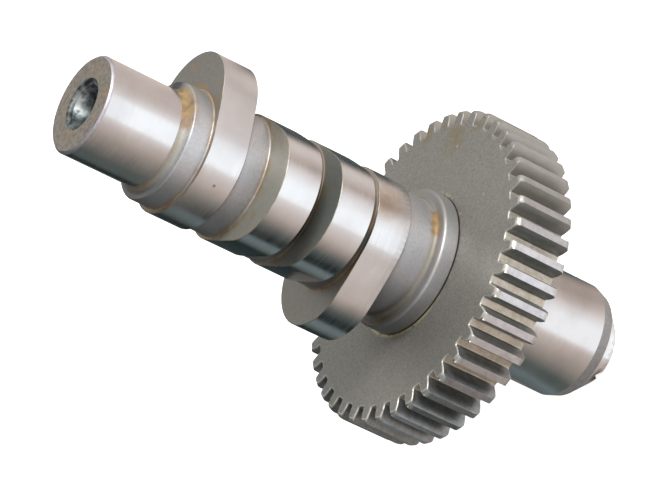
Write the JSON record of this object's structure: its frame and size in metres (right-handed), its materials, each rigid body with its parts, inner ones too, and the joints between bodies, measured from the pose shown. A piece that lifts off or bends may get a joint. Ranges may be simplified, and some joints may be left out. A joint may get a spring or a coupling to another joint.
{
  "type": "camshaft",
  "caption": "Solid overhead camshaft with ground lobes, a bearing journal at each end and a straight-toothed timing gear pressed on against a collar.",
  "frame": {"origin": "on the shaft's axis, in the flat end face of the gear-side journal", "axes": "+Z along the axis, from the gear-side end up to the other journal; -Y is the side of the two inner lobes' noses"},
  "size_m": [0.066, 0.066, 0.124],
  "materials": {
    "shaft_steel": "ground journals and lobes, matte turned core and collars",
    "gear_steel": "matte, heat treated, teeth with fine bright edges"
  },
  "bodies": {
    "root": {"camshaft": "shaft_steel", "cam_gear": "gear_steel"}
  },
  "joints": []
}
